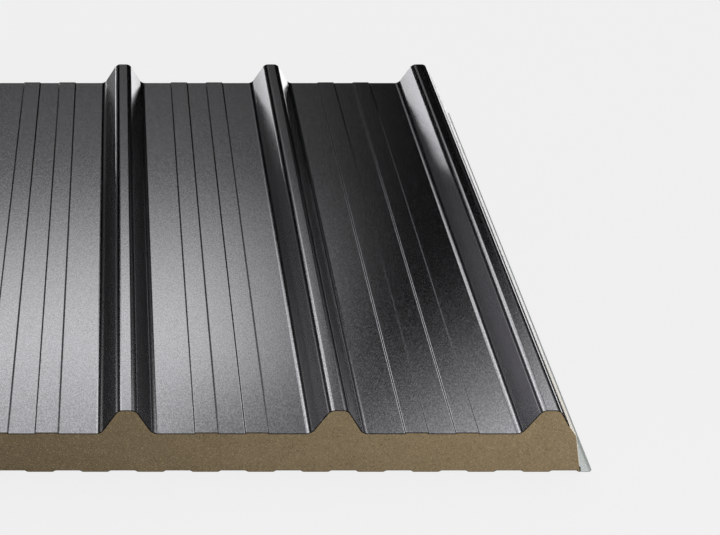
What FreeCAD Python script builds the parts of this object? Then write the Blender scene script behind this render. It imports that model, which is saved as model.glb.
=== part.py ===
import FreeCAD, Part
import math
import os

# Insulated roof sandwich panel: a ribbed steel weather sheet and a lightly profiled steel liner,
# with a rigid foam core between them. X runs across the panel, towards the underlap edge, Y runs
# along the ribs, and Z points up to the weather side. The origin is the centre of the overall box,
# at the level of the liner's lowest bands. All sizes are in millimetres.

# Driving dimensions of the panel
LENGTH = 932.0                # cut length, along the ribs
RIB_SPACING = 250.0           # from rib centre to rib centre
BAYS = 4                      # pans across the cover width
PANEL_THICKNESS = 60.0        # pan's top face to the liner's lowest bands
OUTER_SHEET = 0.6             # steel thickness of the weather sheet
INNER_SHEET = 0.5             # steel thickness of the liner

# Weather sheet: ribs, measured on its top face
RIB_HEIGHT = 35.0
RIB_BASE = 62.5               # between the flanks' corners at pan level
RIB_CROWN = 21.4              # between the flanks' corners at crown level
RIB_BEND = 10.0               # radius of the four bends of a rib

# Weather sheet: the two shallow raised bands that stiffen each pan
STIFFENER_HEIGHT = 1.4
STIFFENER_WIDTH = 27.6        # at half its height
STIFFENER_SPACING = 60.0      # between the two centres
STIFFENER_SLOPE = 1.2         # width of each sloping side
STIFFENER_BEND = 1.5

# Side lap of the weather sheet
LAP_CLEARANCE = 1.0           # between the overlap rib and the rib that it covers
OVERLAP_EDGE = 4.0            # free edge of the overlap rib, above the pan
UNDERLAP_EDGE = 11.0          # cut edge of the underlap rib's outer flank, above the pan

# Foam side, seen from the underlap rib's centre line
SHOULDER_REACH = 34.8         # out to the shoulder, where the foam's flank turns down
SHOULDER_DROP = 4.3           # shoulder below the pan's top face
SHOULDER_BEND = 1.5
SIDE_LEAN = 13.8              # degrees from upright, the foot standing further out
JOINT_CLEARANCE = 0.5         # between the pieces of two panels pushed together
FILM = 0.3                    # thickness of the film on the foam's sides
FILM_MARGIN = 0.6             # bare strip between the film and the steel next to it

# Liner: shallow bands
LINER_BANDS = 15              # for each cover width, so that the pattern runs on across a joint
LINER_BAND_WIDTH = 33.8       # at half the depth
LINER_BAND_DEPTH = 2.2
LINER_BAND_OFFSET = 4.3       # last band's centre, inside the underlap rib's centre line
LINER_SLOPE = 3.0
LINER_BEND = 3.0

# Liner: folded fin and lip on the underlap side, groove and upstand on the overlap side
FIN_HEIGHT = 8.5
HEM_GAP = 0.3                 # between the fin's two layers
LIP_WIDTH = 10.5              # flat part, outside the fin
LIP_TURN = 60.0               # degrees that the lip's tip turns up
LIP_TIP = 3.6                 # width of the turned-up tip
FOOT_LAND = 2.0               # flat strip of liner inside the fin
GROOVE_CLEARANCE = 1.0        # around the neighbour's lip
GROOVE_SLOPE = 3.0
UPSTAND = 8.0                 # liner's upturned edge, above the groove

COVER_WIDTH = RIB_SPACING * BAYS
PAN = PANEL_THICKNESS
LEAN = math.radians(SIDE_LEAN)


# A path is a list of corners, (across, up, bend radius), in the order in which it is travelled.

def vector(across, up):
    """Point of the panel's front end."""
    return FreeCAD.Vector(across, -LENGTH / 2, up)


def direction(start, end):
    """Unit vector from one corner to the next."""
    return (vector(end[0], end[1]) - vector(start[0], start[1])).normalize()


def left_of(heading):
    """Unit vector to the left of a heading, seen along +Y."""
    return FreeCAD.Vector(-heading.z, 0, heading.x)


def headings_at(path, index):
    """Headings into and out of a corner; an end has only one."""
    into = direction(path[max(index - 1, 0)], path[max(index, 1)])
    last = len(path) - 1
    out = direction(path[min(index, last - 1)], path[min(index + 1, last)])
    return into, out


def turn_at(into, out):
    """Angle turned at a corner, positive to the left."""
    return math.atan2(into.x * out.z - into.z * out.x, into.dot(out))


def offset_path(path, distance):
    """Path moved to the left of its travel, with its bends kept concentric."""
    moved = []
    for index, (across, up, radius) in enumerate(path):
        into, out = headings_at(path, index)
        shift = (left_of(into) + left_of(out)) * (distance / (1 + into.dot(out)))
        if radius:
            radius = max(radius - distance * math.copysign(1, turn_at(into, out)), 0)
        moved.append((across + shift.x, up + shift.z, radius))
    return moved


def path_edges(path):
    """Straight runs joined by tangent arcs."""
    edges = []
    end = vector(*path[0][:2])
    for index in range(1, len(path)):
        corner = vector(*path[index][:2])
        radius = path[index][2] if index < len(path) - 1 else 0
        into, out = headings_at(path, index)
        turn = turn_at(into, out)
        setback = radius * math.tan(abs(turn) / 2)
        start = corner - into * setback
        if (start - end).Length > 1e-6:
            edges.append(Part.LineSegment(end, start).toShape())
        end = start
        if setback > 1e-6:
            finish = corner + out * setback
            centre = start + left_of(into) * math.copysign(radius, turn)
            middle = centre + (corner - centre).normalize() * radius
            edges.append(Part.Arc(start, middle, finish).toShape())
            end = finish
    return edges


def outlined_face(path):
    """Flat face inside a path that is closed by a straight run back to its first corner."""
    return Part.Face(Part.Wire(path_edges(path + path[:1])))


def rolled_section(path, thickness):
    """Section of a strip that has one face on the path and the other to the left of it."""
    return outlined_face(path + offset_path(path, thickness)[::-1])


def rib(centre, growth=0.0):
    """Four corners of a rib, its flanks and crown moved outwards by the growth."""
    flank = math.atan2(RIB_HEIGHT, (RIB_BASE - RIB_CROWN) / 2)
    base = RIB_BASE / 2 + growth / math.sin(flank)
    crown = RIB_CROWN / 2 + growth * math.tan(flank / 2)
    top = PAN + RIB_HEIGHT + growth
    return [(centre - base, PAN, RIB_BEND), (centre - crown, top, RIB_BEND),
            (centre + crown, top, RIB_BEND), (centre + base, PAN, RIB_BEND)]


def point_on_flank(foot, crown, height):
    """Place on the line from a rib's foot to its crown, at a height above the pan."""
    share = height / (crown[1] - foot[1])
    return (foot[0] + (crown[0] - foot[0]) * share, PAN + height, 0)


def raised_band(centre, width, slope, low, high, bend):
    """Four corners of a shallow band between two levels."""
    inner, outer = (width - slope) / 2, (width + slope) / 2
    return [(centre - outer, low, bend), (centre - inner, high, bend),
            (centre + inner, high, bend), (centre + outer, low, bend)]


def weather_path():
    """Top face of the weather sheet, from the overlap rib's free edge to the underlap edge."""
    overlap_rib = rib(0, OUTER_SHEET + LAP_CLEARANCE)
    path = [point_on_flank(overlap_rib[0], overlap_rib[1], OVERLAP_EDGE)] + overlap_rib[1:]
    for bay in range(BAYS):
        middle = (bay + 0.5) * RIB_SPACING
        for side in (-1, 1):
            path += raised_band(middle + side * STIFFENER_SPACING / 2, STIFFENER_WIDTH,
                                STIFFENER_SLOPE, PAN, PAN + STIFFENER_HEIGHT, STIFFENER_BEND)
        path += rib((bay + 1) * RIB_SPACING)
    path[-1] = point_on_flank(path[-1], path[-2], UNDERLAP_EDGE)
    return path


def right_side(up):
    """How far across the foam's right side stands at a height."""
    drop = PAN - SHOULDER_DROP - up
    return COVER_WIDTH + SHOULDER_REACH + drop * math.tan(LEAN)


def left_side(up):
    """How far across the foam's left side stands, clear of the neighbour's fin."""
    fin = 2 * INNER_SHEET + HEM_GAP
    gap = fin + INNER_SHEET + JOINT_CLEARANCE
    return right_side(up) - COVER_WIDTH + gap / math.cos(LEAN)


def shoulder():
    """Corner between the foam's flank and its right side."""
    up = PAN - SHOULDER_DROP
    return (right_side(up), up, SHOULDER_BEND)


def lip_corners():
    """Fin, lip and tip on the liner's lower face, from the fin's inner foot outwards."""
    upwards = FreeCAD.Vector(-math.sin(LEAN), 0, math.cos(LEAN))
    foot = right_side(0) + INNER_SHEET / math.cos(LEAN)
    rise = (FIN_HEIGHT - INNER_SHEET) / math.cos(LEAN)
    top_in = vector(foot, 0) + upwards * rise
    top_out = top_in - left_of(upwards) * HEM_GAP
    outer_foot = foot + HEM_GAP / math.cos(LEAN)
    lip_end = outer_foot + INNER_SHEET + LIP_WIDTH
    turn = math.radians(LIP_TURN)
    return [(foot, 0, INNER_SHEET), (top_in.x, top_in.z, HEM_GAP / 2),
            (top_out.x, top_out.z, HEM_GAP / 2), (outer_foot, 0, INNER_SHEET),
            (lip_end, 0, 2 * INNER_SHEET),
            (lip_end + LIP_TIP * math.cos(turn), LIP_TIP * math.sin(turn), 0)]


def liner_path():
    """Lower face of the liner, from the upstand in the overlap joint to the lip's tip."""
    lip = lip_corners()
    tip_across, tip_up, _ = lip[-1]
    groove = tip_up + INNER_SHEET + GROOVE_CLEARANCE
    groove_end = tip_across - COVER_WIDTH + GROOVE_CLEARANCE
    outside = INNER_SHEET / math.cos(LEAN)
    path = [(left_side(groove + UPSTAND) - outside, groove + UPSTAND, 0),
            (left_side(groove) - outside, groove, INNER_SHEET),
            (groove_end, groove, LINER_BEND / 2),
            (groove_end + GROOVE_SLOPE, 0, LINER_BEND / 2)]
    for band in range(LINER_BANDS - 1, -1, -1):
        centre = COVER_WIDTH - LINER_BAND_OFFSET - band * COVER_WIDTH / LINER_BANDS
        corners = raised_band(centre, LINER_BAND_WIDTH, LINER_SLOPE, LINER_BAND_DEPTH, 0,
                              LINER_BEND)
        first = band == LINER_BANDS - 1
        path += corners[2:] if first else corners
    land = lip[0][0] - FOOT_LAND
    path += [(land - LINER_SLOPE, LINER_BAND_DEPTH, LINER_BEND), (land, 0, LINER_BEND)]
    return path + lip


def core_section():
    """Foam between the two sheets, cut off along its left side, so the overlap rib is empty."""
    liner = offset_path(liner_path(), INNER_SHEET)
    under = liner[1:len(liner) - len(lip_corners()) + 1]
    over = offset_path(weather_path(), -OUTER_SHEET)
    filled = outlined_face(under + [shoulder()] + over[::-1])
    above, below = PAN + 2 * RIB_HEIGHT, -RIB_HEIGHT
    empty = outlined_face([(left_side(below), below, 0), (left_side(above), above, 0),
                           (-RIB_SPACING, above, 0), (-RIB_SPACING, below, 0)])
    return filled.cut(empty).Faces[0]


def right_film_section():
    """Film from the weather sheet's cut edge over the shoulder and down to the fin."""
    edge = offset_path(weather_path(), -OUTER_SHEET)[-1]
    start = vector(*edge[:2]) + direction(edge, shoulder()) * FILM_MARGIN
    low = FIN_HEIGHT + FILM_MARGIN
    path = [(start.x, start.z, 0), shoulder(), (right_side(low), low, 0)]
    return rolled_section(path, FILM)


def left_film_section():
    """Film on the foam's left side, between the liner's upstand and the weather sheet."""
    low = liner_path()[0][1] + FILM_MARGIN
    high = PAN - OUTER_SHEET - FILM_MARGIN
    return rolled_section([(left_side(low), low, 0), (left_side(high), high, 0)], FILM)


SECTIONS = {
    "outer_sheet": rolled_section(weather_path(), -OUTER_SHEET),
    "insulation_core": core_section(),
    "inner_sheet": rolled_section(liner_path(), INNER_SHEET),
    "side_film_right": right_film_section(),
    "side_film_left": left_film_section(),
}

os.makedirs("parts", exist_ok=True)
middle = (weather_path()[0][0] + liner_path()[-1][0]) / 2
for name, section in SECTIONS.items():
    piece = section.extrude(FreeCAD.Vector(0, LENGTH, 0))
    piece.translate(FreeCAD.Vector(-middle, 0, 0))
    piece.exportStep(os.path.join("parts", name + ".step"))
    box = piece.BoundBox
    print(name, piece.ShapeType, piece.isValid(), round(piece.Volume),
          [round(v, 3) for v in (box.XMin, box.XMax, box.YMin, box.YMax, box.ZMin, box.ZMax)])
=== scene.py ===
import math

import bmesh
import bpy
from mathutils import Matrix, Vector


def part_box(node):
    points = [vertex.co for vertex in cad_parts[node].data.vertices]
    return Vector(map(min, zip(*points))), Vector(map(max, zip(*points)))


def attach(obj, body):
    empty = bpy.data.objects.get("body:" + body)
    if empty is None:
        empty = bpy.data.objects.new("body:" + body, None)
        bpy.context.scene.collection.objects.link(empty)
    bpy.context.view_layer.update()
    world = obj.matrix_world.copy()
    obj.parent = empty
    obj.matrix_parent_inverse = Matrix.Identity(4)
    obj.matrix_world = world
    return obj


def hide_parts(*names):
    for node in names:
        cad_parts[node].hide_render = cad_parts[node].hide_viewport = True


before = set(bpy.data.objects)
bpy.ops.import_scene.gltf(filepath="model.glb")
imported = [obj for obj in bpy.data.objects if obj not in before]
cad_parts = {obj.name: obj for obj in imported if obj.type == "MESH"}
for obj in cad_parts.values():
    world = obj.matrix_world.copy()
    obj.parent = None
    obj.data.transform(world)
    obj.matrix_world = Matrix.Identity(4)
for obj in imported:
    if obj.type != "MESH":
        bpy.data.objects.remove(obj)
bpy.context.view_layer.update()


# ------------------------------------------------------------------------------ weather sheet
# One wide coil of pre-painted steel, roll-formed into pans with two stiffening bands each and
# into trapezoidal ribs. The foam is bonded to its underside, except in the first rib, which
# stays empty and laps over the last rib of the next panel.

sheet_low, sheet_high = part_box("outer_sheet")
FRONT, BACK = sheet_low.y, sheet_high.y
SHEET_STEEL = 0.0006
PAN = sheet_low.z + SHEET_STEEL

BAYS = 4
RIB_SPACING = 0.250
RIB_HEIGHT = 0.035
RIB_BASE = 0.0625
RIB_CROWN = 0.0214
RIB_BEND = 0.010
FLANK = math.atan2(RIB_HEIGHT, (RIB_BASE - RIB_CROWN) / 2)

BAND_HEIGHT = 0.0014
BAND_WIDTH = 0.0276
BAND_SPACING = 0.060
BAND_SLOPE = 0.0012
BAND_BEND = 0.0015

LAP_CLEARANCE = 0.001
OVERLAP_EDGE = 0.004
UNDERLAP_EDGE = 0.011
LAST_RIB = sheet_high.x - RIB_BASE / 2 + UNDERLAP_EDGE / math.tan(FLANK)
FIRST_RIB = LAST_RIB - BAYS * RIB_SPACING


# A folded line is a list of corners, (across, up, bend radius), seen on the panel's front end.

def rib_corners(centre, growth=0.0):
    """Four corners of a rib. The overlap rib is grown, to fit over the other."""
    base = RIB_BASE / 2 + growth / math.sin(FLANK)
    crown = RIB_CROWN / 2 + growth * math.tan(FLANK / 2)
    top = PAN + RIB_HEIGHT + growth
    return [(centre - base, PAN, RIB_BEND), (centre - crown, top, RIB_BEND),
            (centre + crown, top, RIB_BEND), (centre + base, PAN, RIB_BEND)]


def band_corners(centre, width, slope, low, high, bend):
    """Four corners of a shallow band between two levels."""
    inner, outer = (width - slope) / 2, (width + slope) / 2
    return [(centre - outer, low, bend), (centre - inner, high, bend),
            (centre + inner, high, bend), (centre + outer, low, bend)]


def cut_on_flank(foot, crown, height):
    """Free edge on a rib's flank, at a height above the pan."""
    share = height / (crown[1] - foot[1])
    return (foot[0] + (crown[0] - foot[0]) * share, PAN + height, 0)


def beside(line, distance):
    """Folded line that runs beside another, to its left, with its bends kept concentric."""
    points = [Vector((across, up)) for across, up, bend in line]
    runs = [(end - start).normalized() for start, end in zip(points, points[1:])]
    moved = []
    for point, (_, _, bend), into, out in zip(points, line, runs[:1] + runs, runs + runs[-1:]):
        point = point + (into + out).orthogonal() * (distance / (1 + into.dot(out)))
        if bend:
            bend = max(bend - distance * math.copysign(1, into.cross(out)), 0)
        moved.append((point.x, point.y, bend))
    return moved


BEND_STEP = math.radians(6)
SMOOTH_TURN = math.radians(25)
WELD = 0.000002


def long_piece(name, outline, finishes, sides=None):
    """Solid that runs the panel's length with this outline. Each corner is folded to its bend
    radius, and sides gives the finish of the side that starts at each corner."""
    shape = bmesh.new()
    ring = [shape.verts.new((across, FRONT, up)) for across, up, bend in outline]
    near_end = shape.faces.new(ring)
    swept = bmesh.ops.extrude_face_region(shape, geom=[near_end], use_keep_orig=True)
    far_ring = [item for item in swept["geom"] if isinstance(item, bmesh.types.BMVert)]
    bmesh.ops.translate(shape, vec=(0, BACK - FRONT, 0), verts=far_ring)
    bmesh.ops.recalc_face_normals(shape, faces=shape.faces)

    setbacks = {}
    for index, corner in enumerate(ring):
        long_edge = next(e for e in corner.link_edges if e.other_vert(corner).co.y > FRONT)
        if sides:
            following = ring[(index + 1) % len(ring)]
            for face in long_edge.link_faces:
                if following in face.verts:
                    face.material_index = sides[index]
        bend = outline[index][2]
        if bend:
            turn = long_edge.calc_face_angle()
            steps = max(3, round(turn / BEND_STEP))
            setback = round(bend * math.tan(turn / 2), 6)
            setbacks.setdefault((setback, steps), []).append(long_edge)
    for (setback, steps), long_edges in setbacks.items():
        bmesh.ops.bevel(shape, geom=long_edges, offset=setback, offset_type="OFFSET",
                        affect="EDGES", segments=steps, profile=0.5, material=-1)
    bmesh.ops.remove_doubles(shape, verts=shape.verts, dist=WELD)
    for edge in shape.edges:
        edge.smooth = edge.is_manifold and edge.calc_face_angle() < SMOOTH_TURN
    for face in shape.faces:
        face.smooth = True

    mesh = bpy.data.meshes.new(name)
    shape.to_mesh(mesh)
    shape.free()
    for finish in finishes:
        mesh.materials.append(finish)
    piece = bpy.data.objects.new(name, mesh)
    bpy.context.scene.collection.objects.link(piece)
    evened = piece.modifiers.new("flat_runs", "WEIGHTED_NORMAL")
    evened.keep_sharp = True
    return piece


class Wire:
    """A socket of a material or world. Sums on it add Math nodes beside it."""

    def __init__(self, socket):
        self.socket = socket

    def add(self, kind, settings, inputs, output=0):
        """Adds a node with its settings, then fills or links its sockets."""
        node = self.socket.id_data.nodes.new(kind)
        for name, setting in settings.items():
            setattr(node, name, setting)
        for name, value in inputs.items():
            Wire(node.inputs[name]).take(value)
        return Wire(node.outputs[output])

    def take(self, value):
        """Feeds this input from a wire, or sets it to a value."""
        if isinstance(value, Wire):
            self.socket.id_data.links.new(value.socket, self.socket)
        else:
            self.socket.default_value = value

    def sum(self, operation, first, second=0.0):
        """Result of one Math node."""
        return self.add("ShaderNodeMath", {"operation": operation}, {0: first, 1: second})

    def blend(self, first, second):
        """Colour that goes from the first to the second while this value goes from 0 to 1."""
        return self.add("ShaderNodeMix", {"data_type": "RGBA"},
                        {"Factor": self, 6: first, 7: second}, 2)

    def between(self, low, high, start=0.0, end=1.0):
        """Goes smoothly from start to end while this value goes from low to high."""
        return self.add("ShaderNodeMapRange", {"interpolation_type": "SMOOTHSTEP"},
                        {"Value": self, "From Min": low, "From Max": high,
                         "To Min": start, "To Max": end})

    def along(self, axis):
        """One coordinate of this vector."""
        return self.add("ShaderNodeSeparateXYZ", {}, {0: self}, axis)

    def bumps(self, strength, depth):
        """Normal of a surface that this value raises by up to a depth in metres."""
        return self.add("ShaderNodeBump", {}, {"Strength": strength, "Distance": depth,
                                               "Height": self})

    def __add__(self, other):
        return self.sum("ADD", self, other)

    def __sub__(self, other):
        return self.sum("SUBTRACT", self, other)

    def __rsub__(self, other):
        return self.sum("SUBTRACT", other, self)

    def __mul__(self, other):
        return self.sum("MULTIPLY", self, other)

    __radd__ = __add__
    __rmul__ = __mul__


def new_finish(name):
    """Material with an empty Principled shader, its sockets by name, and object coordinates."""
    finish = bpy.data.materials.new(name)
    finish.use_nodes = True
    shader = finish.node_tree.nodes["Principled BSDF"]
    sockets = {socket.name: Wire(socket) for socket in shader.inputs}
    place = sockets["Normal"].add("ShaderNodeTexCoord", {}, {}, "Object")
    return finish, sockets, place


def grain(place, size, detail=2.0, roughness=0.5):
    """Noise whose lumps are about this size in metres."""
    return place.add("ShaderNodeTexNoise", {"noise_dimensions": "3D"},
                     {"Vector": place, "Scale": 1 / size, "Detail": detail,
                      "Roughness": roughness}, "Fac")


# Anthracite coat: a dark metallic-bright polyester, stoved over primer, with a fine pebbled skin
# on the flats. The flanks have no pebbles or clear layer, and their colour is painted reflection:
# lighter than the flats, and rising from foot to crown. That is set for looks, and isn't known of
# the real coat.
PEBBLE = 0.0021
FLECK = 0.0013

weather_coat, coat, place = new_finish("anthracite_coat")
drawn = place.add("ShaderNodeMapping", {}, {"Vector": place, "Scale": (1, 0.5, 1)})
pebble = grain(drawn, PEBBLE, 2.0, 0.7)
fleck = grain(drawn, FLECK, 1.0, 0.5)
facing = place.add("ShaderNodeNewGeometry", {}, {}, "Normal")
flank = place.sum("ABSOLUTE", facing.along("X")).between(0.45, 0.80)
speckle = 0.6 * fleck.between(0.30, 0.70) + 0.4 * pebble.between(0.35, 0.65)
flat_tone = speckle.blend((0.050, 0.049, 0.053, 1), (0.150, 0.147, 0.159, 1))
# Painted reflection on the flanks: lighter than the flats, and lighter still from foot to crown.
painted_reflection_rise = place.along("Z").between(PAN, PAN + RIB_HEIGHT)
flank_painted_reflection = painted_reflection_rise.blend((0.105, 0.103, 0.110, 1), (0.215, 0.211, 0.226, 1))
coat["Base Color"].take(flank.blend(flat_tone, flank_painted_reflection))
coat["Metallic"].take(1.0)
coat["Roughness"].take(pebble.between(0.25, 0.75, 0.10, 0.16) + 0.06 * flank)
coat["Coat Weight"].take(1 - flank)
coat["Coat Roughness"].take(0.05)
coat["Coat IOR"].take(1.5)
coat["Normal"].take((pebble * (1 - flank)).bumps(1.0, 0.00004))

# Back coat: thin pale epoxy, on the bonded side of both sheets.
back_coat, primer, place = new_finish("back_coat")
cloud = grain(place, 0.004, 3.0)
primer["Base Color"].take(cloud.blend((0.46, 0.49, 0.48, 1), (0.54, 0.57, 0.56, 1)))
primer["Roughness"].take(cloud.between(0.3, 0.7, 0.38, 0.5))

# Sheared edge of the coated steel.
sheared_edge, edge, place = new_finish("sheared_edge")
burr = grain(place, 0.0006, 2.0)
edge["Base Color"].take(burr.blend((0.004, 0.004, 0.004, 1), (0.010, 0.010, 0.010, 1)))
edge["Roughness"].take(0.7)
edge["Specular IOR Level"].take(0.1)

overlap_rib = rib_corners(FIRST_RIB, SHEET_STEEL + LAP_CLEARANCE)
sheet_line = [cut_on_flank(overlap_rib[0], overlap_rib[1], OVERLAP_EDGE)] + overlap_rib[1:]
for bay in range(BAYS):
    middle = FIRST_RIB + (bay + 0.5) * RIB_SPACING
    for offset in (-BAND_SPACING / 2, BAND_SPACING / 2):
        sheet_line += band_corners(middle + offset, BAND_WIDTH, BAND_SLOPE, PAN,
                                   PAN + BAND_HEIGHT, BAND_BEND)
    sheet_line += rib_corners(FIRST_RIB + (bay + 1) * RIB_SPACING)
sheet_line[-1] = cut_on_flank(sheet_line[-1], sheet_line[-2], UNDERLAP_EDGE)
sheet_underside = beside(sheet_line, -SHEET_STEEL)

runs = len(sheet_line) - 1
weather_sheet = long_piece("weather_sheet", sheet_line + sheet_underside[::-1],
                           [sheared_edge, weather_coat, back_coat],
                           [1] * runs + [0] + [2] * runs + [0])
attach(weather_sheet, "root")
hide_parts("outer_sheet")


# --------------------------------------------------------------------------------- inner liner
# Thin pre-painted steel with shallow bands. On the underlap side it is folded up into a fin and
# out into a lip, and on the other side it is raised into a groove that takes the next lip.

liner_low, liner_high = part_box("inner_sheet")
LINER_STEEL = 0.0005
FLOOR_SIDE = liner_low.z
LINER_BANDS = 15
LINER_WIDTH = 0.0338
LINER_DEPTH = 0.0022
LINER_OFFSET = 0.0043
LINER_SLOPE = 0.003
LINER_BEND = 0.003

SHOULDER_REACH = 0.0348
SHOULDER_DROP = 0.0043
SHOULDER_BEND = 0.0015
LEAN = math.radians(13.8)
JOINT_CLEARANCE = 0.0005
FIN_HEIGHT = 0.0085
HEM_GAP = 0.0003
LIP_WIDTH = 0.0105
LIP_TURN = math.radians(60)
LIP_TIP = 0.0036
FOOT_LAND = 0.002
GROOVE_CLEARANCE = 0.001
GROOVE_SLOPE = 0.003
UPSTAND = 0.008


def right_side(up):
    """How far across the foam's right side stands at a height."""
    return LAST_RIB + SHOULDER_REACH + (PAN - SHOULDER_DROP - up) * math.tan(LEAN)


def left_side(up):
    """How far across the foam's left side stands, clear of the next panel's fin."""
    gap = 3 * LINER_STEEL + HEM_GAP + JOINT_CLEARANCE
    return right_side(up) - BAYS * RIB_SPACING + gap / math.cos(LEAN)


foot = right_side(FLOOR_SIDE) + LINER_STEEL / math.cos(LEAN)
fin_top = FLOOR_SIDE + FIN_HEIGHT - LINER_STEEL
fin_in = foot - (FIN_HEIGHT - LINER_STEEL) * math.tan(LEAN)
hem = HEM_GAP / math.cos(LEAN)
lip_end = foot + hem + LINER_STEEL + LIP_WIDTH
lip_line = [(foot, FLOOR_SIDE, LINER_STEEL), (fin_in, fin_top, HEM_GAP / 2),
            (fin_in + HEM_GAP * math.cos(LEAN), fin_top + HEM_GAP * math.sin(LEAN), HEM_GAP / 2),
            (foot + hem, FLOOR_SIDE, LINER_STEEL), (lip_end, FLOOR_SIDE, 2 * LINER_STEEL),
            (lip_end + LIP_TIP * math.cos(LIP_TURN), FLOOR_SIDE + LIP_TIP * math.sin(LIP_TURN), 0)]

groove = lip_line[-1][1] + LINER_STEEL + GROOVE_CLEARANCE
groove_end = lip_line[-1][0] - BAYS * RIB_SPACING + GROOVE_CLEARANCE
wall = LINER_STEEL / math.cos(LEAN)
liner_line = [(left_side(groove + UPSTAND) - wall, groove + UPSTAND, 0),
              (left_side(groove) - wall, groove, LINER_STEEL),
              (groove_end, groove, LINER_BEND / 2),
              (groove_end + GROOVE_SLOPE, FLOOR_SIDE, LINER_BEND / 2)]
for band in range(LINER_BANDS):
    centre = LAST_RIB - LINER_OFFSET - (LINER_BANDS - 1 - band) * BAYS * RIB_SPACING / LINER_BANDS
    corners = band_corners(centre, LINER_WIDTH, LINER_SLOPE, FLOOR_SIDE + LINER_DEPTH,
                           FLOOR_SIDE, LINER_BEND)
    liner_line += corners if band else corners[2:]
liner_line += [(foot - FOOT_LAND - LINER_SLOPE, FLOOR_SIDE + LINER_DEPTH, LINER_BEND),
               (foot - FOOT_LAND, FLOOR_SIDE, LINER_BEND)] + lip_line
liner_upper = beside(liner_line, LINER_STEEL)

# Liner coat: pale grey polyester, satin, with the same fine skin as the weather side.
liner_coat, satin, place = new_finish("liner_coat")
pore = grain(place, 0.003, 2.0)
satin["Base Color"].take(pore.blend((0.60, 0.63, 0.62, 1), (0.66, 0.69, 0.68, 1)))
satin["Roughness"].take(pore.between(0.3, 0.7, 0.3, 0.4))
satin["Coat Weight"].take(0.3)
satin["Coat Roughness"].take(0.2)
satin["Normal"].take(pore.bumps(0.4, 0.0001))

runs = len(liner_line) - 1
liner = long_piece("liner", liner_line + liner_upper[::-1],
                   [sheared_edge, liner_coat, back_coat],
                   [1] * runs + [0] + [2] * runs + [0])
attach(liner, "root")
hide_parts("inner_sheet")


# --------------------------------------------------------------------------------- foam core
# Rigid foam, foamed in place between the two sheets on the line, so that it fills every rib but
# the first and bonds to both. Its ends are sawn, which opens the fine cells.

DARK_RIM = 0.0008

over = beside(sheet_line, -SHEET_STEEL)[4:]
under = liner_upper[1:-5]
foam_top_left = (left_side(PAN - SHEET_STEEL), PAN - SHEET_STEEL, 0)
foam_bottom_left = (left_side(liner_upper[1][1]), liner_upper[1][1], 0)
shoulder = (right_side(PAN - SHOULDER_DROP), PAN - SHOULDER_DROP, SHOULDER_BEND)

# Ochre foam with open cells, some of them dark pits and some pale burrs. The darker tone towards
# the overlap side is painted on, and stands in for lamp light that falls off.
CELL = 0.0013

foam_finish, foam, place = new_finish("sawn_foam")
cells = grain(place, CELL, 2.0, 0.6)
mottle = grain(place, 0.035, 3.0)
pitted = grain(place, 0.0045, 2.0).between(0.35, 0.6)
overlap_tone = mottle.blend((0.096, 0.069, 0.036, 1), (0.118, 0.085, 0.046, 1))
underlap_tone = mottle.blend((0.155, 0.114, 0.062, 1), (0.192, 0.142, 0.079, 1))
body = place.along("X").between(FIRST_RIB, LAST_RIB).blend(overlap_tone, underlap_tone)
dark_pits = cells.between(0.30, 0.48, 0.9, 0.0) * pitted
pale_burrs = cells.between(0.56, 0.72, 0.0, 0.75)
body = dark_pits.blend(body, (0.075, 0.055, 0.030, 1))
foam["Base Color"].take(pale_burrs.blend(body, (0.300, 0.245, 0.150, 1)))
foam["Roughness"].take(0.95)
foam["Normal"].take(cells.bumps(0.5, 0.0004))

# Near-black finish for the rim of the sawn ends that lies along the weather sheet.
rim_finish, rim_shader, place = new_finish("sawn_dark_rim")
rim_grain = grain(place, 0.002)
rim_shader["Base Color"].take(rim_grain.blend((0.003, 0.002, 0.002, 1), (0.010, 0.008, 0.007, 1)))
rim_shader["Roughness"].take(0.9)
rim_shader["Specular IOR Level"].take(0.1)

foam_core = long_piece("foam_core", [foam_bottom_left] + under + [shoulder] + over[::-1]
                       + [foam_top_left], [foam_finish, rim_finish])
# A rim is set into both sawn ends. It stays dark along the weather sheet, and lower down its
# inner corners are welded back onto the outline.
shape = bmesh.new()
shape.from_mesh(foam_core.data)
ends = [face for face in shape.faces if abs(face.normal.y) > 0.9]
rim = bmesh.ops.inset_region(shape, faces=ends, thickness=DARK_RIM, use_even_offset=True)
rim_foot = PAN - 3 * DARK_RIM
for face in rim["faces"]:
    if min(vert.co.z for vert in face.verts) > rim_foot:
        face.material_index = 1
inner = {vert for face in ends for vert in face.verts}
outward = {vert: edge.other_vert(vert) for vert in inner for edge in vert.link_edges
           if vert.co.z < rim_foot and edge.other_vert(vert) not in inner}
bmesh.ops.weld_verts(shape, targetmap=outward)
shape.to_mesh(foam_core.data)
shape.free()
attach(foam_core, "root")
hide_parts("insulation_core")


# --------------------------------------------------------------------------------- side films
# Thin cream film on the foam's two long sides, which keeps the cell gas in. The right one runs
# from the weather sheet's cut edge over the shoulder and down to the liner's fin.

FILM = 0.0003
FILM_MARGIN = 0.0006

# The cream goes paler away from the front end. That is set for looks, and isn't known of the
# real film.
film_finish, film, place = new_finish("edge_film")
crease = grain(place, 0.02, 3.0)
cream = crease.blend((0.74, 0.69, 0.60, 1), (0.80, 0.75, 0.66, 1))
paler = place.along("Y").between(FRONT + 0.05, FRONT + 0.20)
film["Base Color"].take(paler.blend(cream, (0.84, 0.84, 0.83, 1)))
film["Roughness"].take(crease.between(0.3, 0.7, 0.35, 0.5))
film["Normal"].take(crease.bumps(0.3, 0.001))

edge_corner = Vector(sheet_underside[-1][:2])
towards = (Vector(shoulder[:2]) - edge_corner).normalized()
start = edge_corner + towards * FILM_MARGIN
film_foot = FLOOR_SIDE + FIN_HEIGHT + FILM_MARGIN
right_line = [(start.x, start.y, 0), shoulder, (right_side(film_foot), film_foot, 0)]
right_film = long_piece("right_film", right_line + beside(right_line, FILM)[::-1], [film_finish])
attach(right_film, "root")
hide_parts("side_film_right")

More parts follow.
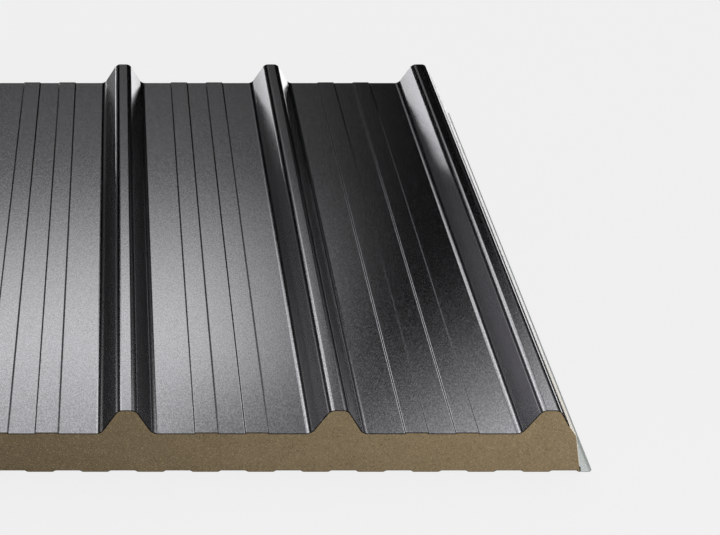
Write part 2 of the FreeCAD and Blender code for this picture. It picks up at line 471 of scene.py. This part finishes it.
film_low = groove + UPSTAND + FILM_MARGIN
film_high = PAN - SHEET_STEEL - FILM_MARGIN
left_line = [(left_side(film_low), film_low, 0), (left_side(film_high), film_high, 0)]
left_film = long_piece("left_film", left_line + beside(left_line, FILM)[::-1], [film_finish])
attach(left_film, "root")
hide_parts("side_film_left")


# ------------------------------------------------------------------------------------- studio
# A pale floor that runs into a pale backdrop, soft boxes that the coat mirrors, and one wide
# lamp in front on the right that lights the sawn end.

BACKDROP = 0.863
FLOOR_GLOW = 0.889
FLOOR_SHARE = 0.9
FLOOR_GAP = 0.0005

floor_shape = bmesh.new()
bmesh.ops.create_grid(floor_shape, x_segments=1, y_segments=1, size=12)
bmesh.ops.translate(floor_shape, vec=(0, 0, FLOOR_SIDE - FLOOR_GAP), verts=floor_shape.verts)
floor_mesh = bpy.data.meshes.new("floor")
floor_shape.to_mesh(floor_mesh)
floor_shape.free()
floor = bpy.data.objects.new("floor", floor_mesh)
bpy.context.scene.collection.objects.link(floor)
floor.visible_glossy = False
floor_finish = bpy.data.materials.new("pale_floor")
floor_finish.use_nodes = True
floor_nodes = floor_finish.node_tree.nodes
floor_nodes.clear()
floor_out = Wire(floor_nodes.new("ShaderNodeOutputMaterial").inputs["Surface"])
seen = floor_out.add("ShaderNodeLightPath", {}, {}, "Is Camera Ray")
glow = floor_out.add("ShaderNodeEmission", {}, {"Color": (FLOOR_GLOW, FLOOR_GLOW, FLOOR_GLOW, 1)})
paint = floor_out.add("ShaderNodeBsdfDiffuse", {}, {"Color": (0.8, 0.8, 0.8, 1)})
floor_out.take(floor_out.add("ShaderNodeMixShader", {}, {0: seen * FLOOR_SHARE, 1: paint, 2: glow}))
floor_mesh.materials.append(floor_finish)

world = bpy.data.worlds.new("studio")
bpy.context.scene.world = world
world.use_nodes = True
backdrop = world.node_tree.nodes["Background"]
strength = Wire(backdrop.inputs["Strength"])
backdrop.inputs["Color"].default_value = (1, 1, 1, 1)

# Where a ray heads, in degrees up from the horizon and round to the right from the panel's back.
DEGREE = math.degrees(1)
heading = strength.add("ShaderNodeTexCoord", {}, {}, "Generated")
up = strength.sum("ARCSINE", heading.along("Z")) * DEGREE
right = strength.sum("ARCTAN2", heading.along("X"), heading.along("Y")) * DEGREE
off_level = strength.sum("ABSOLUTE", up)

# All the boxes are seen by mirrored rays alone, and some are several times brighter than white.
# Straight back hangs a wide ceiling box, brightest at its left, over a dim wall. A second box
# stands behind the underlap side and brightens upwards and to the right.
ceiling = (up.between(28.9, 36.6, 0, 2.8) * (1 - right.between(2, 13))
           * (1 - up.between(36, 40, 0, 0.7) * right.between(1, 5, 0.45, 1)))
wall = (0.38 * right.between(-12, -8) * (1 - right.between(2, 14)) * up.between(18, 32)
        * up.between(36, 46, 1, 0))
slant = up + 0.7 * right
rise = slant.between(41, 57)
right_box = 4.1 * rise * rise * up.between(44, 60, 1, 0.3)
right_haze = 0.14 * slant.between(30, 46) * right.between(17, 22) * up.between(2, 10)

# Low windows on the left, which the flanks of the ribs and the edges of the bands mirror.
left_window = ((right - 0.51 * off_level).between(-36.5, -31) * up.between(-12, -2, 0.12, 4.2)
               * (1 - right.between(-15, -5)) * up.between(-2.6, -1, 1, 0.03)
               * (1 - up.between(9, 15)))
far_window = (1 - right.between(-43, -35)) * off_level.between(4, 16, 0.9, 0)
line_window = 1.3 * (1 - right.between(-39, -34)) * up.between(5, 6.5) * (1 - up.between(8, 10))
edge_window = 2.0 * (1 - right.between(-18, -12)) * up.between(28, 33) * (1 - up.between(38, 44))
left_haze = 0.16 * (1 - right.between(-40, -26))

# What shines up from the floor beyond the panel.
right_floor = right.between(12, 18) * up.between(-10, -6, 2.0, 0) * up.between(-23, -20)
left_floor = (1 - right.between(12, 18)) * up.between(-14, -10, 0.05, 0)

# All that is in front of the lens, and a plain even room at the sides, overhead and behind.
ahead = (ceiling + wall + right_box + right_haze + left_window + far_window + line_window
         + edge_window + left_haze + right_floor + left_floor + 0.003)
sideways = strength.sum("ABSOLUTE", right).between(50, 75)
around = strength.sum("MAXIMUM", sideways, up.between(55, 70))
mirrored = ahead * (1 - around) + up.between(-5, 50, 0.12, 0.9) * around

PLAIN_LIGHT = 0.8
straight = strength.add("ShaderNodeLightPath", {}, {}, "Is Camera Ray")
glossy = strength.add("ShaderNodeLightPath", {}, {}, "Is Glossy Ray")
lit = PLAIN_LIGHT * (1 - glossy) + mirrored * glossy
strength.take(lit * (1 - straight) + BACKDROP * straight)

LAMP_PLACE = Vector((0.72, -1.35, 0.25))
LAMP_AIM = Vector((0.5, FRONT, 0.04))
light = bpy.data.lights.new("front_right_lamp", "AREA")
light.size = 0.4
light.energy = 5
lamp = bpy.data.objects.new("front_right_lamp", light)
lamp.location = LAMP_PLACE
lamp.rotation_euler = (LAMP_AIM - LAMP_PLACE).to_track_quat("-Z", "Y").to_euler()
lamp.visible_glossy = False
bpy.context.scene.collection.objects.link(lamp)

camera_data = bpy.data.cameras.new("camera")
camera_data.lens = 75.27
camera_data.sensor_width = 36
camera_data.shift_x = 0.33976
camera = bpy.data.objects.new("camera", camera_data)
camera.location = (-0.02905, -1.85249, 1.20652)
camera.rotation_euler = (math.radians(56.70), 0, 0)
bpy.context.scene.collection.objects.link(camera)
bpy.context.scene.camera = camera

bpy.context.scene.view_settings.view_transform = "Standard"
